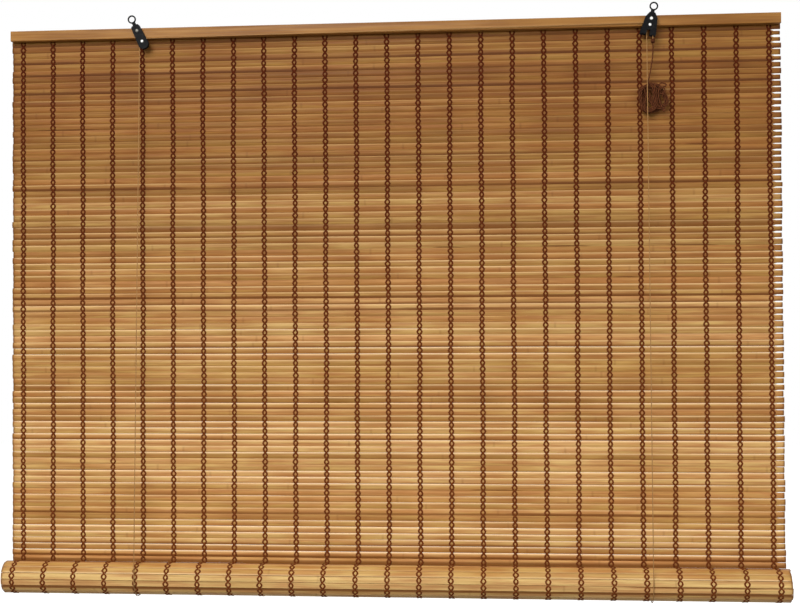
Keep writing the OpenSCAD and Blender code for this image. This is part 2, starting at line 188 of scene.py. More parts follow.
def add_piece(name, points, faces, corner_map, material, values=None):
    """New mesh object from whole arrays: points, face corners, map and point values."""
    mesh = bpy.data.meshes.new(name)
    corners = np.concatenate([f.ravel() for f in faces]).astype(np.int32)
    sizes = np.concatenate([np.full(len(f), f.shape[1]) for f in faces])
    starts = np.concatenate([[0], np.cumsum(sizes)[:-1]]).astype(np.int32)
    mesh.vertices.add(len(points))
    mesh.vertices.foreach_set("co", np.ascontiguousarray(points, np.float32).ravel())
    mesh.loops.add(len(corners))
    mesh.loops.foreach_set("vertex_index", corners)
    mesh.polygons.add(len(starts))
    mesh.polygons.foreach_set("loop_start", starts)
    mesh.polygons.foreach_set("use_smooth", np.ones(len(starts), bool))
    mesh.update(calc_edges=True)
    layer = mesh.uv_layers.new(name="UVMap")
    layer.data.foreach_set("uv", np.ascontiguousarray(corner_map, np.float32).ravel())
    for key, value in (values or {}).items():
        held = mesh.attributes.new(key, "FLOAT", "POINT").data
        held.foreach_set("value", value.astype(np.float32).ravel())
    mesh.materials.append(material)
    piece = bpy.data.objects.new(name, mesh)
    bpy.context.scene.collection.objects.link(piece)
    return piece


def seat(piece, body, slot, *nodes):
    """Puts a piece on a body, in place of the solids that it stands for. The slot is not used."""
    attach(piece, body)
    if nodes:
        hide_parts(*nodes)


def gather(piece):
    """Gives a hanging piece a mesh of its own."""
    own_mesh(piece)


def swept(paths, radius, sides, side_axis, flat=1.0, plies=0):
    """Points of tubes along paths of shape (tubes, rings, 3).

    At each ring a circle stands square to the path: side times cosine plus the cross product
    times sine. Flat scales it along the side axis. With plies, the radius swells that many times
    round the ring, and the swelling turns by one ply for each lay of length, as in a cord.
    """
    tangent = np.gradient(paths, axis=1)
    tangent /= np.linalg.norm(tangent, axis=2, keepdims=True)
    side = side_axis - tangent * (tangent @ side_axis)[..., None]
    side /= np.linalg.norm(side, axis=2, keepdims=True)
    other = np.cross(tangent, side)
    angle = np.arange(sides) * 2 * math.pi / sides
    steps = np.linalg.norm(np.diff(paths, axis=1), axis=2)
    run = np.concatenate([np.zeros((len(paths), 1)), np.cumsum(steps, axis=1)], axis=1)
    swell = np.ones(run.shape + (sides,))
    if plies:
        turned = plies * angle - run[..., None] * 2 * math.pi / PLY_LAY
        swell += PLY_DEPTH * (np.cos(turned) - 1) / 2
    ring = side[:, :, None, :] * (np.cos(angle) * flat)[:, None]
    ring = ring + other[:, :, None, :] * np.sin(angle)[:, None]
    return paths[:, :, None, :] + ring * swell[..., None] * radius, run


def add_tubes(name, paths, radius, sides, side_axis, material, darkening=None, **shape):
    """Tubes along paths, with a map that runs along each tube in metres and once round it.

    Darkening is one value for each ring, where the colour changes along the tubes.
    """
    points, run = swept(paths, radius, sides, side_axis, **shape)
    tubes, rings = paths.shape[:2]
    quads, caps, tube, ring, side = ring_faces(tubes, rings, sides)
    cap_map = np.zeros((caps.size, 2))
    cap_map[:, 0] = np.repeat(np.concatenate([run[:, 0], run[:, -1]]), sides)
    quad_map = np.stack([run[tube, ring], side / sides], axis=-1).reshape(-1, 2)
    corner_map = np.concatenate([quad_map, cap_map])
    values = None
    if darkening is not None:
        values = {"darkening": np.broadcast_to(darkening[:, None], (tubes, rings, sides))}
    return add_piece(name, points.reshape(-1, 3), [quads, caps], corner_map, material, values)


def line(*points):
    """Points along straight stretches between stops in millimetres, a step apart."""
    stops = np.array(points, float)
    parts = [stops[:1]]
    for a, b in zip(stops[:-1], stops[1:]):
        n = max(1, int(np.linalg.norm(b - a) / LINE_STEP))
        parts.append(a + (b - a) * np.linspace(0, 1, n + 1)[1:, None])
    return np.concatenate(parts)


def smooth_line(points, count):
    """Smooth curve through points, by cubic steps whose slope at a point follows its neighbours."""
    p = np.concatenate([[2 * points[0] - points[1]], points, [2 * points[-1] - points[-2]]])
    u = np.linspace(0, len(points) - 1, count)
    i = np.minimum(u.astype(int), len(points) - 2)
    t = (u - i)[:, None]
    a, b, c, d = p[i], p[i + 1], p[i + 2], p[i + 3]
    square, cube = 2 * a - 5 * b + 4 * c - d, 3 * b - a - 3 * c + d
    return 0.5 * (2 * b + (c - a) * t + square * t**2 + cube * t**3)


def coil(low, high, radius, turns, count):
    """Turns round the line between two points: both cross axes by cosine and sine, and the line."""
    way = (high - low) / np.linalg.norm(high - low)
    side = ACROSS - way * (way @ ACROSS)
    side /= np.linalg.norm(side)
    a = np.linspace(0, 2 * math.pi * turns, count)[:, None]
    around = side * np.cos(a) + np.cross(way, side) * np.sin(a)
    return low + (high - low) * a / a[-1] + radius * around


def eased(x):
    """Smooth step from 0 to 1."""
    x = np.clip(x, 0, 1)
    return x * x * (3 - 2 * x)


# Finishes


class Finish:
    """A node tree, with short calls to add and join nodes.

    A kind of node is its type without the ShaderNode in front. Inputs go by name or number.
    """

    def __init__(self, tree):
        self.tree = tree

    def add(self, kind, settings=None, **inputs):
        made = self.tree.nodes.new("ShaderNode" + kind)
        for key, value in (settings or {}).items():
            setattr(made, key, value)
        return self.feed(made, inputs)

    def feed(self, made, inputs):
        for key, value in inputs.items():
            if isinstance(value, bpy.types.NodeSocket):
                self.tree.links.new(value, made.inputs[key])
            else:
                made.inputs[key].default_value = value
        return made

    def out(self, kind, settings=None, **inputs):
        return self.add(kind, settings, **inputs).outputs

    def group(self, name, **inputs):
        return self.out("Group", {"node_tree": effect(name)}, **inputs)

    def maths(self, operation, a, b=0.0):
        made = self.add("Math", {"operation": operation})
        return self.feed(made, {0: a, 1: b}).outputs[0]

    def times(self, a, b):
        return self.maths("MULTIPLY", a, b)

    def plus(self, a, b):
        return self.maths("ADD", a, b)

    def mixed(self, share, a, b, blend="MIX"):
        made = self.add("Mix", {"data_type": "RGBA", "blend_type": blend})
        return self.feed(made, {0: share, 6: a, 7: b}).outputs[2]

    def spread(self, value, low, high, out_low=0.0, out_high=1.0):
        made = self.add("MapRange", {"interpolation_type": "SMOOTHSTEP"})
        given = enumerate((value, low, high, out_low, out_high))
        return self.feed(made, dict(given)).outputs[0]


def grain_nodes(made, given):
    """Fibres drawn out along the first axis: noise on a vector that is stretched along it."""
    part = made.out("SeparateXYZ", Vector=given["Vector"])
    shift = made.times(given["Seed"], 61.0)
    along = made.plus(made.times(part[0], given["Along"]), shift)
    across = made.times(part[1], given["Across"])
    deep = made.times(part[2], given["Across"])
    drawn = made.out("CombineXYZ", X=along, Y=across, Z=made.plus(deep, shift))
    look = {"Scale": 1.0, "Detail": 4.0, "Roughness": 0.62, "Distortion": 0.25}
    fibre = made.out("TexNoise", Vector=drawn[0], **look)[0]
    low = made.plus(made.times(deep, 0.3), shift)
    wide = made.out("CombineXYZ", X=made.times(along, 2.4), Y=made.times(across, 0.3), Z=low)
    cloud = made.out("TexNoise", Vector=wide[0], Scale=1.0, Detail=3.0, Roughness=0.55)
    return made.spread(fibre, 0.36, 0.68), made.spread(cloud[0], 0.32, 0.7), fibre


def twist_nodes(made, given):
    """Plies of a twisted cord: a wave on the map, turned so that it runs round as it goes along."""
    part = made.out("SeparateXYZ", Vector=given["Vector"])
    around = made.times(part[1], given["Plies"])
    along = made.times(part[0], given["Turns"])
    phase = made.times(made.maths("SUBTRACT", around, along), 2 * math.pi)
    wave = made.spread(made.maths("COSINE", phase), -1.0, 0.7)
    drawn = made.out("CombineXYZ", X=made.times(along, 3.0), Y=around)
    fuzz = made.out("TexNoise", Vector=drawn[0], Scale=2.3, Detail=3.0)[0]
    return wave, made.spread(fuzz, 0.3, 0.7), made.plus(wave, made.times(fuzz, 0.35))


def rub_nodes(made, given):
    """Handling marks on metal and plastic: broad blotches and fine specks of noise."""
    place, scale = given["Vector"], given["Scale"]
    broad = made.out("TexNoise", Vector=place, Scale=scale, Detail=4.0, Roughness=0.6)
    fine = made.out("TexNoise", Vector=place, Scale=made.times(scale, 7.0), Detail=2.0)
    return made.spread(broad[0], 0.5, 0.72), fine[0]


EFFECTS = {
    "Long grain": (
        grain_nodes, {"Seed": 0.0, "Along": 5.0, "Across": 900.0}, ("Fibre", "Cloud", "Height")
    ),
    "Twisted plies": (twist_nodes, {"Plies": 2.0, "Turns": 200.0}, ("Ply", "Fuzz", "Height")),
    "Handling marks": (rub_nodes, {"Scale": 300.0}, ("Rub", "Speck")),
}


def effect(name):
    """Shared node group, made at its first use: a vector and numbers go in, numbers come out."""
    if name in bpy.data.node_groups:
        return bpy.data.node_groups[name]
    join, inputs, outputs = EFFECTS[name]
    tree = bpy.data.node_groups.new(name, "ShaderNodeTree")
    tree.interface.new_socket("Vector", in_out="INPUT", socket_type="NodeSocketVector")
    for key, value in inputs.items():
        socket = tree.interface.new_socket(key, in_out="INPUT", socket_type="NodeSocketFloat")
        socket.default_value = value
    for key in outputs:
        tree.interface.new_socket(key, in_out="OUTPUT", socket_type="NodeSocketFloat")
    given, out = (tree.nodes.new(f"NodeGroup{end}") for end in ("Input", "Output"))
    made = Finish(tree)
    made.feed(out, dict(zip(outputs, join(made, given.outputs))))
    return tree


def finished(name, join, *given, **more):
    """Material of that name, made at its first use by a function that joins its nodes."""
    if name in bpy.data.materials:
        return bpy.data.materials[name]
    material = bpy.data.materials.new(name)
    material.use_nodes = True
    tree = material.node_tree
    join(Finish(tree), tree.nodes["Principled BSDF"], *given, **more)
    return material


def rgba(value):
    """Colour with full cover."""
    return (*value, 1.0)


def dressed(made, shader, base, rough, gloss, height, strength, distance):
    """Joins colour, roughness and height to the shader, and sets its gloss."""
    shader.inputs["Specular IOR Level"].default_value = gloss
    bump = made.out("Bump", Strength=strength, Distance=distance, Height=height)
    made.feed(shader, {"Base Color": base, "Roughness": rough, "Normal": bump[0]})


def bamboo_nodes(made, shader, colours):
    """Split bamboo: a tone for each slat, fibres along it, a node line here and there.

    Edge value above 0: pale cut edge with painted highlight; below 0: painted shade, and dark ends.
    """
    tone, hue, seed, darkening, edge = (
        made.out("Attribute", {"attribute_name": key})["Fac"]
        for key in ("tone", "hue", "seed", "darkening", "edge")
    )
    place = made.out("UVMap", {"uv_map": "UVMap"})[0]
    grain = made.group("Long grain", Vector=place, Seed=seed, Across=460.0)
    fibre, cloud = grain["Fibre"], grain["Cloud"]
    streak_and_shade = rgba(colours.bamboo_streak_and_shade)
    drawn = made.add("VectorMath", {"operation": "MULTIPLY"}, Vector=place)
    drawn.inputs[1].default_value = (9.0, 22.0, 1.0)
    patina = made.out("TexNoise", Vector=drawn.outputs[0], Scale=1.0, Detail=2.0)
    blotch = made.spread(patina[0], 0.25, 0.75, -0.16, 0.16)
    ramp = made.add("ValToRGB", Fac=made.plus(tone, blotch))
    ramp.color_ramp.elements[0].color = rgba(colours.bamboo_dark)
    ramp.color_ramp.elements[1].color = rgba(colours.bamboo_light)
    ramp.color_ramp.elements.new(0.5).color = rgba(colours.bamboo_mid)
    patched = made.plus(hue, made.spread(cloud, 0.0, 1.0, -0.35, 0.35))
    tint = made.mixed(patched, rgba(colours.bamboo_olive), rgba(colours.bamboo_russet))
    tinted = made.mixed(1.0, ramp.outputs[0], tint, "MULTIPLY")
    patch = made.mixed(made.times(cloud, 0.45), tinted, rgba(colours.bamboo_dark))
    fibred = made.mixed(made.times(fibre, 0.4), patch, streak_and_shade)
    along = made.out("SeparateXYZ", Vector=place)[0]
    shifted = made.plus(along, made.times(seed, 97.0))
    joints = made.out("TexVoronoi", {"voronoi_dimensions": "1D"}, W=shifted, Scale=2.2)
    joint = made.times(made.spread(joints["Distance"], 0.001, 0.006, 1.0, 0.0), 0.22)
    marked = made.mixed(joint, fibred, streak_and_shade)
    # Pale upper edges: cut edge and painted highlight, stronger where a line is open
    cut_edge_and_highlight = made.spread(edge, 0.0, 1.0, 0.0, 0.85)
    pale = made.mixed(cut_edge_and_highlight, marked, rgba(colours.bamboo_cut_edge_and_highlight))
    # Dark lower edges and dark lines: painted shade; the slat ends are darkened too
    dark = made.spread(edge, -1.0, 0.0, 0.75, 0.0)
    darkest = made.spread(edge, -2.0, -1.0, 0.22, 0.0)
    shaded_edges = made.mixed(made.plus(dark, darkest), pale, streak_and_shade)
    darkened = made.mixed(darkening, shaded_edges, rgba(colours.bamboo_top_tint), "MULTIPLY")
    rough = made.spread(fibre, 0.0, 1.0, 0.5, 0.66)
    dressed(made, shader, darkened, rough, 0.16, grain["Height"], 0.25, 0.0004)


def rail_nodes(made, shader, colours):
    """Planed wood with grain along the rail."""
    place = made.out("TexCoord")["Object"]
    grain = made.group("Long grain", Vector=place, Along=3.0, Across=420.0)
    dark = rgba(colours.rail_dark)
    base = made.mixed(grain["Cloud"], rgba(colours.rail_light), dark)
    fibred = made.mixed(made.times(grain["Fibre"], 0.35), base, dark)
    rough = made.spread(grain["Fibre"], 0.0, 1.0, 0.38, 0.56)
    dressed(made, shader, fibred, rough, 0.16, grain["Height"], 0.2, 0.0004)


def cord_nodes(made, shader, pale, shade, plies, turns, top_tint=None):
    """Twisted cord: two colours by the plies, painted shade between them, fuzz, and a darker top
    tint.
    """
    place = made.out("UVMap", {"uv_map": "UVMap"})[0]
    twist = made.group("Twisted plies", Vector=place, Plies=plies, Turns=turns)
    plied = made.mixed(twist["Ply"], rgba(shade), rgba(pale))
    worn = made.mixed(made.times(twist["Fuzz"], 0.3), plied, rgba(shade))
    if top_tint is not None:
        darkening = made.out("Attribute", {"attribute_name": "darkening"})["Fac"]
        worn = made.mixed(darkening, worn, rgba(top_tint), "MULTIPLY")
    rough = made.spread(twist["Fuzz"], 0.0, 1.0, 0.7, 0.9)
    dressed(made, shader, worn, rough, 0.08, twist["Height"], 0.5, 0.0002)


def metal_nodes(made, shader, clean, marked, metallic, rough, scale, gloss=0.5):
    """Painted or bare metal and plastic with handling marks, rough between two values."""
    place = made.out("TexCoord")["Object"]
    marks = made.group("Handling marks", Vector=place, Scale=scale)
    base = made.mixed(marks["Rub"], rgba(clean), rgba(marked))
    speck = marks["Speck"]
    shader.inputs["Metallic"].default_value = metallic
    dressed(made, shader, base, made.spread(speck, 0.3, 0.7, *rough), gloss, speck, 0.12, 0.0002)


# Routes of the cords, in millimetres, as the solids have them

LEFT_X, RIGHT_X, PULL_X = -392.141, 393.056, 402.356
LEFT_AXLE = (-387.491, -34.873)
RIGHT_AXLE = (397.706, -29.426)
WRAP = 4.65
FRONT_SHEAVE_Y = -3.9
PULL_Y = -1.95
ROLL_AXIS = (-8.4, -871.5)
SLING = 27.55
RUN_Z = -871.2
ANCHOR_Y = 20.6
RAIL_BOTTOM, RAIL_TOP = -29.0, -13.0
FRONT_STRAIGHT, REAR_STRAIGHT = 10, 4
JOINER = (-57.0, -50.0)

# Hank of the pull cord: its middle, one stadium's radius and run, its layers and how each one lies

HANK = (PULL_X - 1.4, PULL_Y + 5.4, -130.0)
HANK_RADIUS, HANK_GROWTH, HANK_RUN = 7.0, 2.3, 18.0
HANK_LAYERS, LAYER_TURNS, LAYER_STEP, TURN_POINTS = 5, 3, 2.35, 40
LAYER_TILTS = [4, 31, 9, 34, 17]
LAYER_SHIFTS = [-7, 3, -8, 2.5, -4]
HANK_FRONT = HANK[1] - 4.4
END_RING, END_RING_TURNS, END_RING_DEPTH = 5.2, 1.25, 2.3

# Stops of the pull cord: down to the hank, from it to the ring round its right side, and at its end

LEAD = [[PULL_X, PULL_Y, JOINER[0]], [PULL_X, PULL_Y, -66], [PULL_X - 0.8, -2.2, -78]]
LEAD += [[PULL_X - 2.8, -2.7, -92], [PULL_X - 5.4, -3.0, -106]]
LEAD += [[HANK[0] - 6.3, -3.15, -117], [HANK[0] - 6.8, -3.15, -125]]
OVER = [[10.9, 8.0, 12.0], [15.0, 6.8, 13.9], [19.4, 3.6, 12.8]]
OVER += [[21.0, -0.6, 9.8], [18.9, -3.5, 6.8], [13.6, -4.4, 5.2]]
END_HANG = [[0, 0, 0], [0.3, 0.3, -9], [2.4, 1.0, -18], [6.2, 1.4, -26], [9.6, 1.4, -31]]


def wrapped(axle, y, start, stop, count=24):
    """Arc of a cord over a sheave, between two angles in degrees."""
    a = np.radians(np.linspace(start, stop, count))
    x, z = axle[0] + WRAP * np.cos(a), axle[1] + WRAP * np.sin(a)
    return np.stack([x, np.full(count, y), z], axis=1)


def hank_turns():
    """Turns of the hank: a stadium whose radius grows and shrinks by turns, layer behind layer.

    One turn goes down a straight run on the left, round the bottom, up the right and over the top.
    The radius follows a zigzag of the turn number, and the layer steps on where that turns back.
    """
    grows = HANK_GROWTH * LAYER_TURNS
    bend = math.pi * (HANK_RADIUS + grows / 2)
    share = np.array([HANK_RUN, bend, HANK_RUN, bend]) / (2 * HANK_RUN + 2 * bend)
    edge = np.concatenate([[0], np.cumsum(share)])
    total = HANK_LAYERS * LAYER_TURNS
    t = np.linspace(0, total - 1 + edge[3], total * TURN_POINTS)
    f = t % 1.0
    early = edge[3] + share[3] / 2 - 1
    saw = np.clip((t - early) / LAYER_TURNS, 0, HANK_LAYERS) % 2
    r = HANK_RADIUS + grows * np.where(saw < 1, saw, 2 - saw)
    at = np.arange(1, HANK_LAYERS) * LAYER_TURNS + early
    layer = eased((t[:, None] - at) / 0.4 + 0.5).sum(axis=1)
    down, low, up, high = (np.clip((f - edge[k]) / share[k], 0, 1) for k in range(4))
    low, high = math.pi * low, math.pi * high
    where = np.minimum(np.searchsorted(edge, f, side="right") - 1, 3)
    x = np.choose(where, [-r, -r * np.cos(low), r, r * np.cos(high)])
    bottom = -HANK_RUN - r * np.sin(low)
    z = np.choose(where, [-HANK_RUN * down, bottom, -HANK_RUN * (1 - up), r * np.sin(high)])
    return t, x, z, layer


def pull_route():
    """Pull cord: down from the knot, past the hank's neck, through its turns, a loose end last.

    Each layer leans its own way, and its turns wave a little. The end comes forward round the
    hank's right side, makes one small ring in front of it and hangs down.
    """
    cx, _, cz = HANK
    t, x, z, layer = hank_turns()
    order = np.arange(HANK_LAYERS)
    blend = eased(t / 0.25)
    tilt = blend * np.radians(np.interp(layer, order, LAYER_TILTS))
    shift = np.interp(layer, order, LAYER_SHIFTS) + 0.8 * np.sin(0.2 * z + 1.7 * layer)
    x, z = x + blend * shift, z + blend * 0.6 * np.sin(0.22 * x + 2.1 * layer)
    turns = np.stack(
        [
            cx + x * np.cos(tilt) - z * np.sin(tilt),
            HANK_FRONT + LAYER_STEP * layer - 2.2 * (1 - eased(t / 0.2)),
            cz + x * np.sin(tilt) + z * np.cos(tilt),
        ],
        axis=1,
    )
    lead = np.array([*LEAD, turns[0]])
    over = np.array([turns[-1], turns[-1] + [-0.5, 0.4, 4.6], *(np.array(OVER) + [cx, 0, cz])])
    a = np.linspace(0, 2 * math.pi * END_RING_TURNS, 30)[1:, None]
    curl = over[-1] - UP * END_RING + END_RING * (UP * np.cos(a) - ACROSS * np.sin(a))
    curl = curl - BACK * END_RING_DEPTH * eased(a / 2 / math.pi)
    end = smooth_line(curl[-1] + np.array(END_HANG), 24)
    lead, over = smooth_line(lead, 70), smooth_line(over, 40)
    return rounded(np.concatenate([lead[:-1], turns, over[1:], curl, end[1:]]), 3)


def rounded(route, times):
    """Takes kinks out of a route: each point moves half way to the middle of its neighbours."""
    route = route.copy()
    for _ in range(times):
        route[1:-1] = (route[:-2] + 2 * route[1:-1] + route[2:]) / 4
    return route


# Stage: camera, lamps, surroundings and floor

CAMERA_PLACE = (0.1751, -1.9139, -0.4806)
CAMERA_YAW, CAMERA_PITCH, CAMERA_ROLL = 4.756, 0.951, 0.288
LENS, SENSOR = 56.25, 36.0
LAMP_TARGET = (0.0, 0.0, -0.5)
LAMPS = (
    ("Key", (-0.6, -2.6, 0.85), 82.0, 1.5),
    ("Fill", (1.6, -2.2, 0.0), 12.0, 1.8),
    ("Rear", (0.4, 2.6, 0.8), 44.0, 2.2),
)
SKY_LOW, SKY_HIGH, SKY_TOP = 0.22, 0.55, 0.9
FLOOR_HALF, FLOOR_Z, FLOOR_GLOW = 6.0, -1.25, 0.9
WHITE = (1.0, 1.0, 1.0, 1.0)


def place_camera(scene):
    """Camera where the picture was taken: yaw, pitch and roll from a view along the depth."""
    turns = ((CAMERA_YAW, "Z"), (CAMERA_PITCH, "X"), (CAMERA_ROLL, "Y"))
    yaw, pitch, roll = (Matrix.Rotation(math.radians(a), 3, axis) for a, axis in turns)
    right, forward, up = (yaw @ pitch @ roll).col
    data = bpy.data.cameras.new("View")
    data.lens, data.sensor_width, data.sensor_fit = LENS, SENSOR, "HORIZONTAL"
    camera = bpy.data.objects.new("View", data)
    facing = Matrix((right, up, -forward)).transposed().to_4x4()
    camera.matrix_world = Matrix.Translation(CAMERA_PLACE) @ facing
    scene.collection.objects.link(camera)
    scene.camera = camera


def add_lamp(scene, name, place, power, size):
    """Square area lamp that faces the blind."""
    data = bpy.data.lights.new(name, "AREA")
    data.energy, data.size = power, size
    lamp = bpy.data.objects.new(name, data)
    facing = (Vector(LAMP_TARGET) - Vector(place)).to_track_quat("-Z", "Y").to_matrix().to_4x4()
    lamp.matrix_world = Matrix.Translation(place) @ facing
    scene.collection.objects.link(lamp)


def seen_rays(made):
    """1 for rays that show a thing as it is: from the camera, let through or mirrored."""
    rays = made.out("LightPath")
    clear = made.maths("MAXIMUM", rays["Is Camera Ray"], rays["Is Transmission Ray"])
    return made.maths("MAXIMUM", clear, rays["Is Glossy Ray"])


def floor_nodes(made, shader, pale):
    """Pale floor that shows almost white."""
    shader.inputs["Base Color"].default_value = rgba(pale)
    shader.inputs["Emission Color"].default_value = WHITE
    glow = made.times(seen_rays(made), FLOOR_GLOW)
    place = made.out("TexCoord")["Object"]
    speck = made.out("TexNoise", Vector=place, Scale=40.0, Detail=3.0)
    rough = made.spread(speck[0], 0.3, 0.7, 0.75, 0.9)
    made.feed(shader, {"Emission Strength": glow, "Roughness": rough})


class BLIND_OT_stage(bpy.types.Operator):
    """Camera, soft light, white surroundings and a pale floor"""

    bl_idname = "blind.stage"
    bl_label = "Stage"

    def execute(self, context):
        scene = context.scene
        scene.view_settings.view_transform = "Standard"
        place_camera(scene)
        for lamp in LAMPS:
            add_lamp(scene, *lamp)
        self.surroundings(scene)
        self.floor(scene.blind_colours.floor)
        return {"FINISHED"}

    def surroundings(self, scene):
        """White to look at, and a soft light that is stronger from above."""
        scene.world = bpy.data.worlds.new("Surroundings")
        scene.world.use_nodes = True
        made = Finish(scene.world.node_tree)
        light = made.tree.nodes["Background"]
        light.inputs["Color"].default_value = WHITE
        way = made.out("TexCoord")["Generated"]
        high = made.out("SeparateXYZ", Vector=way)[2]
        sky = made.spread(high, 0.0, SKY_TOP, SKY_LOW, SKY_HIGH)
        made.feed(light, {"Strength": made.maths("MAXIMUM", seen_rays(made), sky)})

    def floor(self, pale):
        """Wide square under the blind."""
        half = FLOOR_HALF
        square = np.array([[-half, -half], [half, -half], [half, half], [-half, half]])
        corners = np.column_stack([square, np.full(4, FLOOR_Z)])
        finish = finished("Pale floor", floor_nodes, pale)
        floor = add_piece("floor", corners, [np.array([[0, 1, 2, 3]])], square, finish)


class BLIND_OT_pull_cord(bpy.types.Operator):
    """Pull cord and its hank, one free cord, with the knot that it hangs from"""

    bl_idname = "blind.pull_cord"
    bl_label = "Pull cord"

    def execute(self, context):
        sizes, colours = settings(context)
        pale, shade = colours.pull_cord, colours.pull_shade
        finish = finished("Brown cord", cord_nodes, pale, shade, plies=3, turns=130)
        route = pull_route() * MM
        cord = add_tubes("pull_cord_wound", route[None], sizes.pull_cord / 2, 10, BACK, finish)
        seat(cord, "frame", "brown_cord", "pull_cord", "cord_hank")
        self.joiner(finish)
        self.end_knot(route, finish)
        return {"FINISHED"}

    def joiner(self, finish):
        """Turns of the cord round the ends of both lift cords."""
        radius = 1.1
        ends = (JOINER[0] + radius, JOINER[1] - radius)
        low, high = (np.array([PULL_X, PULL_Y, z]) for z in ends)
        turns = coil(low, high, radius=2.3, turns=3.0, count=90)
        knot = add_tubes("joiner_knot", turns[None] * MM, radius * MM, 10, UP, finish)
        seat(knot, "frame", "brown_cord", "cord_joiner")
        return knot

    def end_knot(self, route, finish):
        """Turns of the cord round its own end."""
        way = route[-1] - route[-4]
        way /= np.linalg.norm(way)
        low, high = (route[-1] - way * back * MM for back in (4.6, 0.9))
        turns = coil(low, high, radius=1.5 * MM, turns=2.6, count=60)
        knot = add_tubes("end_knot", turns[None], 0.95 * MM, 8, way, finish)
        seat(knot, "frame", "brown_cord")
        return knot


class BLIND_OT_lift_cords(bpy.types.Operator):
    """Lift cords: runs before and behind the mat, slings under the roll, ways over the sheaves"""

    bl_idname = "blind.lift_cords"
    bl_label = "Lift cords"

    def execute(self, context):
        colours = context.scene.blind_colours
        pale, shade = colours.lift_cord, colours.lift_shade
        finish = finished("Pale cord", cord_nodes, pale, shade, plies=3, turns=200)
        front, rear = ROLL_AXIS[0] - SLING, ROLL_AXIS[0] + SLING
        left, right = LEFT_AXLE[1], RIGHT_AXLE[1]
        under = RAIL_BOTTOM - REAR_STRAIGHT
        for name, x, low_y, y, bend, top in (
            ("left_front", LEFT_X, front, 0.0, left - FRONT_STRAIGHT, left),
            ("right_front", RIGHT_X, front, FRONT_SHEAVE_Y, right - FRONT_STRAIGHT, right),
            ("left_back", LEFT_X, rear, ANCHOR_Y, under, RAIL_TOP),
            ("right_back", RIGHT_X, rear, ANCHOR_Y, under, RAIL_TOP),
        ):
            route = line((x, low_y, RUN_Z), (x, y, bend), (x, y, top)) * MM
            run = self.cord(name + "_cord", route, ACROSS, finish, "frame", name + "_run")
            gather(run)
        a = np.radians(np.linspace(0, -180, 120))
        for name, x in (("left", LEFT_X), ("right", RIGHT_X)):
            y, z = ROLL_AXIS[0] + SLING * np.cos(a), ROLL_AXIS[1] + SLING * np.sin(a)
            route = np.stack([np.full(a.size, x), y, z], axis=1) * MM
            self.cord(name + "_sling_cord", route, ACROSS, finish, "slings", name + "_sling")
        rise = math.degrees(math.atan2(right - left, RIGHT_AXLE[0] - LEFT_AXLE[0]))
        first = wrapped(LEFT_AXLE, 0.0, 180, 90 + rise)
        second = wrapped(RIGHT_AXLE, 0.0, 90 + rise, 0)
        span = line(first[-1], second[0])[1:-1]
        drop = line(second[-1], (PULL_X, 0.0, JOINER[1]))[1:]
        route = np.concatenate([first, span, second, drop]) * MM
        self.cord("cross_over_cord", route, BACK, finish, "frame", "cross_cord")
        over = wrapped(RIGHT_AXLE, FRONT_SHEAVE_Y, 180, 0, 48)
        drop = line(over[-1], (PULL_X, FRONT_SHEAVE_Y, JOINER[1]))[1:]
        route = np.concatenate([over, drop]) * MM
        self.cord("right_top_cord", route, BACK, finish, "frame", "right_over_cord")
        self.knots(finish)
        return {"FINISHED"}

    def cord(self, name, route, side_axis, finish, body, node):
        """Twisted tube in place of one stretch of a lift cord."""
        radius = bpy.context.scene.blind_sizes.lift_cord / 2
        made = add_tubes(name, route[None], radius, 9, side_axis, finish, plies=3)
        seat(made, body, "lift_cord", node)
        return made

    def knots(self, finish):
        """Two coiled knots on top of the batten."""
        radius = 0.75
        coils = []
        for x in (LEFT_X, RIGHT_X):
            low, high = (np.array([x, ANCHOR_Y, RAIL_TOP + up]) for up in (radius, 2.6))
            coils.append(coil(low, high, radius=1.35, turns=2.2, count=70))
        knots = add_tubes("anchor_coils", np.stack(coils) * MM, radius * MM, 8, UP, finish)
        seat(knots, "frame", "lift_cord", "anchor_knots")


# Slats: rings near their ends, widest and shut gap, and how much they differ

END_RINGS = np.array([0, 0.003, 0.0075, 0.0115])
WIDEST_GAP, SHUT_GAP = 0.6 * MM, 0.003 * MM
GAP_SPREAD, GAP_WAVE = 0.4, 0.22
TILT_SPREAD = 0.7
TONE, TONE_SPREAD, TONE_WAVE = 0.52, 0.17, 0.05
HUE, HUE_SPREAD = 0.5, 0.24

# Edges: painted shade; a line below 0 is dark all along, and the painted shade of a broad line
# reaches higher

DARK_LINE = -2
SHADE, BROAD_SHADE, SHADE_SPREAD, SHADE_WAVE, DARK_SHADE = 0.3, 0.65, 0.12, 0.2, 2
REACH, BROAD_REACH = 0.4, 0.1
CUT_END, NEAR_END = -1, 0.25

# Hanging mat: painted highlight and taper from the top to the bottom, broad lines, painted shadow
# at the roll

TOP_BRIGHT, LOW_BRIGHT = 0.42, 0.8
TOP_TAPER, LOW_TAPER = 0.42, 0.08
BROAD_SHARE = 0.22
DARK_SLATS, LOW_SHADE, LOW_REACH = 3, 1.2, -0.3
# Paler lowest slats: painted light where the roll keeps light off the mat
PALE, PALE_FROM, PALE_OVER = 0.12, 0.7, 0.3
# Where the darker tint from the top has faded out
DARKENING_END = 0.9
MAT_RINGS = 50

# Roll: painted highlight, painted shade lines, and how its slats differ from the hanging ones

ROLL_BRIGHT, ROLL_DARK_LINES = 0.3, [0, 7]
ROLL_TONE, ROLL_HUE, ROLL_TILT = 0.2, 0.65, 0.5
ROLL_RINGS = 30


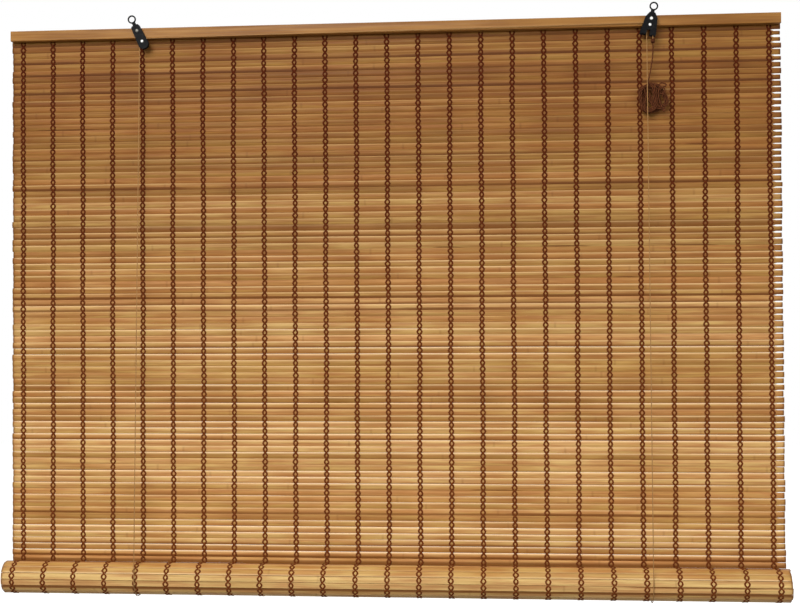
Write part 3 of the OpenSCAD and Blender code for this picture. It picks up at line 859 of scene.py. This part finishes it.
def slat_section():
    """Section with half sides 1, anticlockwise, first axis thickness to the back, second height.

    The back bulges a little and the front more, as split cane does: one less a share of the
    height squared.
    """
    rise = np.array([-0.84, -0.42, 0.0, 0.42, 0.84])
    back = np.stack([1 - 0.25 * rise**2, rise], axis=1)
    front = np.stack([1.5 * rise**2 - 1, rise], axis=1)[::-1]
    top = np.array([[0.8, 0.95], [0.66, 1], [0.24, 1], [0.12, 0.95]])
    return np.concatenate([back, top, front, top[::-1] * [1, -1]])


def long_waves(rng, count, along):
    """Sum of three sine waves along each of many lines, with seeded size and phase."""
    waves = np.array([1.2, 2.9, 6.3]) * 2 * math.pi
    share = np.array([1.0, 0.6, 0.35])
    size = rng.uniform(0.3, 1.0, (count, 1, 3))
    phase = rng.uniform(0, 2 * math.pi, (count, 1, 3))
    return (share * size * np.sin(waves * along[:, None] + phase)).sum(axis=2)


class SlatSet:
    """Seeded differences between slats: the lines between them, their ends, tilt and tone.

    A line lies between two slats. It wanders up and down along the mat, and it opens and closes.
    A slat fills the space between two lines, so neighbours never meet, and its right end narrows
    outside the last thread. The upper edge of a slat is pale, a cut edge with painted highlight,
    more so where its line is open, and the lower edge is darker with painted shade, deeper at a
    seeded share of broad lines.
    """

    def __init__(self, sizes, gap, bright, taper, broad_share, rings, seed):
        rng = np.random.default_rng(seed)
        lines, count = gap.size, gap.size - 1
        inner = np.linspace(0.03, 0.97, rings - 2 * END_RINGS.size)
        self.along = np.concatenate([END_RINGS, inner, 1 - END_RINGS[::-1]])
        wander = sizes.slat_bow * long_waves(rng, lines, self.along)
        spread = rng.normal(0, GAP_SPREAD, lines)[:, None]
        spread = spread + GAP_WAVE * long_waves(rng, lines, self.along)
        opened = np.minimum(gap[:, None] * np.exp(spread), WIDEST_GAP)
        opened = np.where(opened < sizes.gap_shut, SHUT_GAP, opened)
        top = (wander - opened / 2)[:-1] + sizes.slat_pitch / 2
        low = (wander + opened / 2)[1:] - sizes.slat_pitch / 2
        self.middle = (top + low) / 2
        narrow = (taper * rng.uniform(0.25, 1, count))[:, None] * (self.along > 0.99)
        self.half = (top - low) / 2 * (1 - narrow)
        # Painted highlight on upper edges, stronger where a line is open
        bright = np.clip(bright[:, None] + 0.8 * spread, -1, 1)
        broad = (rng.uniform(0, 1, lines) < broad_share) | (bright[:, 0] < 0)
        shade = SHADE + BROAD_SHADE * broad + SHADE_SPREAD * rng.normal(0, 1, lines)
        shade = shade[:, None] + SHADE_WAVE * long_waves(rng, lines, self.along)
        shade = np.where(bright < 0, DARK_SHADE, np.clip(shade, 0.05, 1))
        self.bright, self.shade = bright[:-1], shade[1:]
        self.reach = np.where(broad, BROAD_REACH, REACH)[1:]
        self.ends = sizes.slat_ragged * rng.uniform(-1, 0.3, (count, 2))
        self.tilt = np.radians(rng.normal(0, TILT_SPREAD, count))
        self.seed = rng.uniform(0, 1, count)
        wave = np.convolve(rng.normal(0, 1, count + 8), np.ones(9) / 3, "valid")
        tone = TONE + TONE_SPREAD * rng.normal(0, 1, count) + TONE_WAVE * wave
        self.tone = np.clip(tone, 0.02, 1)
        self.hue = np.clip(HUE + HUE_SPREAD * rng.normal(0, 1, count), 0, 1)


def slat_arrays(sizes, slats):
    """Each slat's section carried along it: x, thickness and height of every point."""
    section = slat_section()
    left = MAT_LOW[0] - slats.ends[:, :1]
    right = MAT_HIGH[0] + slats.ends[:, 1:]
    x = left + (right - left) * slats.along
    w = section[:, 0] * sizes.slat_thickness / 2
    high = slats.middle[..., None] + section[:, 1] * slats.half[..., None]
    return x[..., None] + 0 * high, w + 0 * high, high


def add_slats(name, slats, points, x, high, along, darkening, finish):
    """Piece from slat points, with its map in metres along the slat and along the mat.

    The edge value is above 0 where a slat's edge is pale, a cut edge with painted highlight, and
    below 0 where it is dark, with painted shade at a lower edge and dark ends.
    """
    count, rings, sides = x.shape
    quads, caps, *_ = ring_faces(count, rings, sides)
    flat = np.stack([x, along[:, None, None] + high], axis=-1).reshape(-1, 2)
    corners = np.concatenate([quads.ravel(), caps.ravel()])
    place = slat_section()[:, 1]
    # Painted highlight reaches down from the upper edge, painted shade up from the lower edge
    lit = np.interp(place, [0, 0.42, 0.84, 0.93], [0, 0.15, 0.75, 1])
    bright, shade = slats.bright[..., None], slats.shade[..., None]
    dim = np.clip((-place - slats.reach[:, None, None]) / 0.5, 0, 1)
    edge = np.where(bright > 0, lit, place > 0.9) * bright - dim * shade
    edge[:, [0, -1]] = CUT_END
    edge[:, [1, -2]] -= NEAR_END
    even = {"tone": slats.tone, "hue": slats.hue, "seed": slats.seed, "darkening": darkening}
    values = {key: np.repeat(value, rings * sides) for key, value in even.items()}
    values["edge"] = edge
    return add_piece(name, points.reshape(-1, 3), [quads, caps], flat[corners], finish, values)


def top_darkening(drop):
    """How much darker a part of the mat is made: fully under the headrail, not at all near the
    roll.
    """
    return eased((DARKENING_END - drop) / DARKENING_END)


class BLIND_OT_slats(bpy.types.Operator):
    """Hanging slats, each a little different"""

    bl_idname = "blind.slats"
    bl_label = "Hanging slats"

    def execute(self, context):
        sizes, colours = settings(context)
        count = sizes.slat_count
        gap = sizes.gap_top + (sizes.gap_low - sizes.gap_top) * np.linspace(0, 1, count + 1) ** 2
        bright = np.linspace(TOP_BRIGHT, LOW_BRIGHT, count + 1)
        # Painted shadow: dark lines over the slats in the crease at the roll
        bright[-DARK_SLATS:] = DARK_LINE
        taper = np.linspace(TOP_TAPER, LOW_TAPER, count)
        slats = SlatSet(sizes, gap, bright, taper, BROAD_SHARE, MAT_RINGS, sizes.slat_seed)
        x, thick, high = slat_arrays(sizes, slats)
        middle = float(MAT_LOW[1] + MAT_HIGH[1]) / 2
        centre = MAT_HIGH[2] - node_half(sizes) - np.arange(count) * sizes.slat_pitch
        y = middle + thick + high * np.sin(slats.tilt)[:, None, None]
        z = centre[:, None, None] + high
        drop = np.arange(count) / count
        # Painted light: the lowest slats paler, where the roll keeps light off the mat
        slats.tone = slats.tone + PALE * eased((drop - PALE_FROM) / PALE_OVER)
        # Painted shadow in the crease reaches high up these slats
        slats.reach[-DARK_SLATS:] = LOW_REACH
        slats.shade[-DARK_SLATS:] = LOW_SHADE
        finish = finished("Split bamboo", bamboo_nodes, colours)
        points = np.stack([x, y, z], axis=-1)
        along = np.arange(count) * sizes.slat_pitch
        piece = add_slats("hanging_slats", slats, points, x, high, along, top_darkening(drop), finish)
        seat(piece, "frame", "bamboo", "slat_mat")
        gather(piece)
        return {"FINISHED"}


def node_half(sizes):
    """Half the height of a slat in the solid, from the pitch and the mat's height."""
    total = float(MAT_HIGH[2] - MAT_LOW[2])
    return (total - (sizes.slat_count - 1) * sizes.slat_pitch) / 2


# Threads: seeds, steps on a slat, ends, drift of a column, dip in a gap, rise over the other strand

WARP_SEED, ROLL_WARP_SEED = 21, 33
MAT_STEPS, ROLL_STEPS = 4, 6
WARP_START, ROLL_WARP_END = 0.4 * MM, 342
DRIFT, DIP, RISE = 0.35 * MM, 0.7, 0.25


def strand_paths(sizes, s, seed):
    """Two strands in each column: x swings as plus or minus the sine of pi times the slat number.

    They cross in every gap. Lift is how far a strand stands off the slat's face: it dips in the
    gaps, and at a crossing one strand lies over the other, by turns.
    """
    rng = np.random.default_rng(seed)
    columns = MAT_LOW[0] + sizes.warp_margin + np.arange(sizes.warp_count) * sizes.warp_pitch
    sign = np.array([1.0, -1.0])[:, None]
    wobble = rng.uniform(0, 2 * math.pi, (sizes.warp_count, 1, 2))
    slow, quick = wobble[..., 0], wobble[..., 1]
    drift = DRIFT * (np.sin(0.21 * s + slow) + 0.6 * np.sin(0.67 * s + quick))
    swing = sizes.strand_swing * (1 + 0.12 * np.sin(1.9 * s + quick))
    wave = np.sin(math.pi * s)
    wave *= np.abs(wave) ** 0.2
    x = columns[:, None, None] + drift[:, None, :] + sign * (swing * wave)[:, None, :]
    turn = np.cos(math.pi * s)
    gap = turn**2
    lift = sizes.strand_depth / 2 * (1 - DIP * gap**4)
    lift = lift + sign * RISE * sizes.strand_depth * turn * gap**3
    return x, np.broadcast_to(lift, x.shape)


class BLIND_OT_threads(bpy.types.Operator):
    """Twined threads on the front and the back of the mat and round the roll"""

    bl_idname = "blind.threads"
    bl_label = "Twined threads"

    def execute(self, context):
        sizes, colours = settings(context)
        tints = (colours.thread, colours.thread_dark)
        look = {"plies": 2, "turns": 420, "top_tint": colours.thread_top_tint}
        finish = finished("Brown thread", cord_nodes, *tints, **look)
        gap_z = MAT_HIGH[2] + (sizes.slat_pitch - 2 * node_half(sizes)) / 2
        start = (gap_z - RAIL_LOW[2] + WARP_START) / sizes.slat_pitch
        first, last = math.ceil(start * MAT_STEPS), sizes.slat_count * MAT_STEPS
        steps = np.arange(first, last + 1) / MAT_STEPS
        s = np.concatenate([[start], steps[steps > start + 0.02]])
        z = gap_z - s * sizes.slat_pitch
        darkening = top_darkening(s / sizes.slat_count)
        for name, face, way, node in (
            ("front_strands", MAT_LOW[1], -1, "warp_front"),
            ("back_strands", MAT_HIGH[1], 1, "warp_back"),
        ):
            x, lift = strand_paths(sizes, s, WARP_SEED + way)
            y = face + way * lift
            path = np.stack([x, y, np.broadcast_to(z, x.shape)], axis=-1).reshape(-1, s.size, 3)
            flat = sizes.strand_depth / sizes.strand_width
            piece = add_tubes(name, path, sizes.strand_width / 2, 5, BACK, finish, darkening, flat=flat)
            seat(piece, "frame", "warp_thread", node)
            gather(piece)
        self.roll_strands(sizes, finish)
        return {"FINISHED"}

    def roll_strands(self, sizes, finish):
        """The same strands on the outer turn of the roll, along the spiral."""
        angle, _ = spiral(sizes, np.arange(sizes.roll_slats) + 0.5)
        last = np.count_nonzero(angle < math.radians(ROLL_WARP_END))
        s = np.arange(0, last * ROLL_STEPS + 1) / ROLL_STEPS
        x, lift = strand_paths(sizes, s, ROLL_WARP_SEED)
        a, r = spiral(sizes, s)
        sag = (sizes.slat_pitch / 2) ** 2 / (2 * sizes.roll_radius) * (2 * (s % 1.0) - 1) ** 2
        out = r + sizes.slat_thickness / 2 + lift - 0.5 * sag
        y = ROLL_AXIS[0] * MM + out * np.cos(a)
        z = ROLL_AXIS[1] * MM - out * np.sin(a)
        path = np.stack([x, y, z], axis=-1).reshape(-1, s.size, 3)
        flat = sizes.strand_width / sizes.strand_depth
        radius = sizes.strand_depth / 2
        piece = add_tubes("roll_strands", path, radius, 5, ACROSS, finish, flat=flat)
        seat(piece, "roll", "warp_thread", "roll_warps")


def spiral(sizes, s):
    """Angle and radius of the rolled mat after s slats.

    The radius falls by one turn pitch in each turn, so the length along the mat is the area of a
    ring over the pitch, and the radius follows as a square root.
    """
    run = s * sizes.slat_pitch
    r = np.sqrt(sizes.roll_radius**2 - sizes.roll_turn * run / math.pi)
    return (sizes.roll_radius - r) * 2 * math.pi / sizes.roll_turn, r


class BLIND_OT_roll(bpy.types.Operator):
    """Rolled part of the mat: slats along a spiral"""

    bl_idname = "blind.roll"
    bl_label = "Roll"

    def execute(self, context):
        sizes, colours = settings(context)
        count = sizes.roll_slats
        gap = np.full(count + 1, sizes.gap_roll)
        # Painted highlight on the roll's upper slat edges, and painted shade along its dark lines
        bright = np.full(count + 1, ROLL_BRIGHT)
        bright[ROLL_DARK_LINES] = DARK_LINE
        slats = SlatSet(sizes, gap, bright, np.zeros(count), 0, ROLL_RINGS, sizes.slat_seed + 1)
        slats.tone = np.clip(slats.tone + ROLL_TONE, 0, 1)
        slats.hue *= ROLL_HUE
        x, thick, high = slat_arrays(sizes, slats)
        angle, radius = (v[:, None, None] for v in spiral(sizes, np.arange(count) + 0.5))
        lean = np.sin(slats.tilt * ROLL_TILT)[:, None, None]
        out = radius + thick + lean * high
        y = ROLL_AXIS[0] * MM + out * np.cos(angle) + high * np.sin(angle)
        z = ROLL_AXIS[1] * MM - out * np.sin(angle) + high * np.cos(angle)
        finish = finished("Split bamboo", bamboo_nodes, colours)
        points = np.stack([x, y, z], axis=-1)
        along = (sizes.slat_count + np.arange(count)) * sizes.slat_pitch
        piece = add_slats("rolled_slats", slats, points, x, high, along, np.zeros(count), finish)
        seat(piece, "roll", "bamboo", "mat_roll")
        return {"FINISHED"}


class BLIND_OT_hardware(bpy.types.Operator):
    """Finishes of the rails, pulley blocks, screws, sheaves and eyes"""

    bl_idname = "blind.hardware"
    bl_label = "Rails and pulley blocks"

    def execute(self, context):
        colours = context.scene.blind_colours
        tarnish, worn = colours.steel_dull, colours.paint_worn
        kinds = {
            "black_metal": ("Black paint", colours.paint, worn, 0.0, (0.4, 0.55), 260, 0.06),
            "steel": ("Plated steel", colours.steel, tarnish, 1.0, (0.22, 0.42), 420),
            "sheave_plastic": ("Sheave plastic", colours.plastic, worn, 0.0, (0.4, 0.55), 380),
            "dull": ("Dull steel", tarnish, worn, 1.0, (0.4, 0.6), 420),
        }
        finishes = {key: finished(name, metal_nodes, *look) for key, (name, *look) in kinds.items()}
        finishes["rail_wood"] = finished("Rail wood", rail_nodes, colours)
        for part in frame["record"]["subparts"]:
            key = "dull" if part["node"] == "left_screw" else part["material_slot"]
            if key in finishes:
                for place in frame["nodes"][part["node"]].material_slots:
                    place.material = finishes[key]
        return {"FINISHED"}


class BLIND_PT_parts(bpy.types.Panel):
    """Makes the blind's pieces and holds their sizes and colours"""

    bl_idname = "BLIND_PT_parts"
    bl_label = "Bamboo blind"
    bl_space_type = "VIEW_3D"
    bl_region_type = "UI"
    bl_category = "Blind"

    def draw(self, context):
        for step in STEPS:
            self.layout.operator(step.bl_idname)
        for group in settings(context):
            column = self.layout.column(align=True)
            for key in group.bl_rna.properties.keys():
                if key not in {"rna_type", "name"}:
                    column.prop(group, key)


STEPS = (
    BLIND_OT_stage,
    BLIND_OT_pull_cord,
    BLIND_OT_lift_cords,
    BLIND_OT_slats,
    BLIND_OT_threads,
    BLIND_OT_roll,
    BLIND_OT_hardware,
)
CLASSES = (BlindSizes, BlindColours, *STEPS, BLIND_PT_parts)


def register():
    for made in CLASSES:
        bpy.utils.register_class(made)
    bpy.types.Scene.blind_sizes = PointerProperty(type=BlindSizes)
    bpy.types.Scene.blind_colours = PointerProperty(type=BlindColours)


def unregister():
    del bpy.types.Scene.blind_colours
    del bpy.types.Scene.blind_sizes
    for made in reversed(CLASSES):
        bpy.utils.unregister_class(made)


def main():
    """Makes every piece in order."""
    register()
    bpy.ops.blind.stage()
    bpy.ops.blind.pull_cord()
    bpy.ops.blind.lift_cords()
    bpy.ops.blind.slats()
    bpy.ops.blind.threads()
    bpy.ops.blind.roll()
    bpy.ops.blind.hardware()


if __name__ == "__main__":
    main()
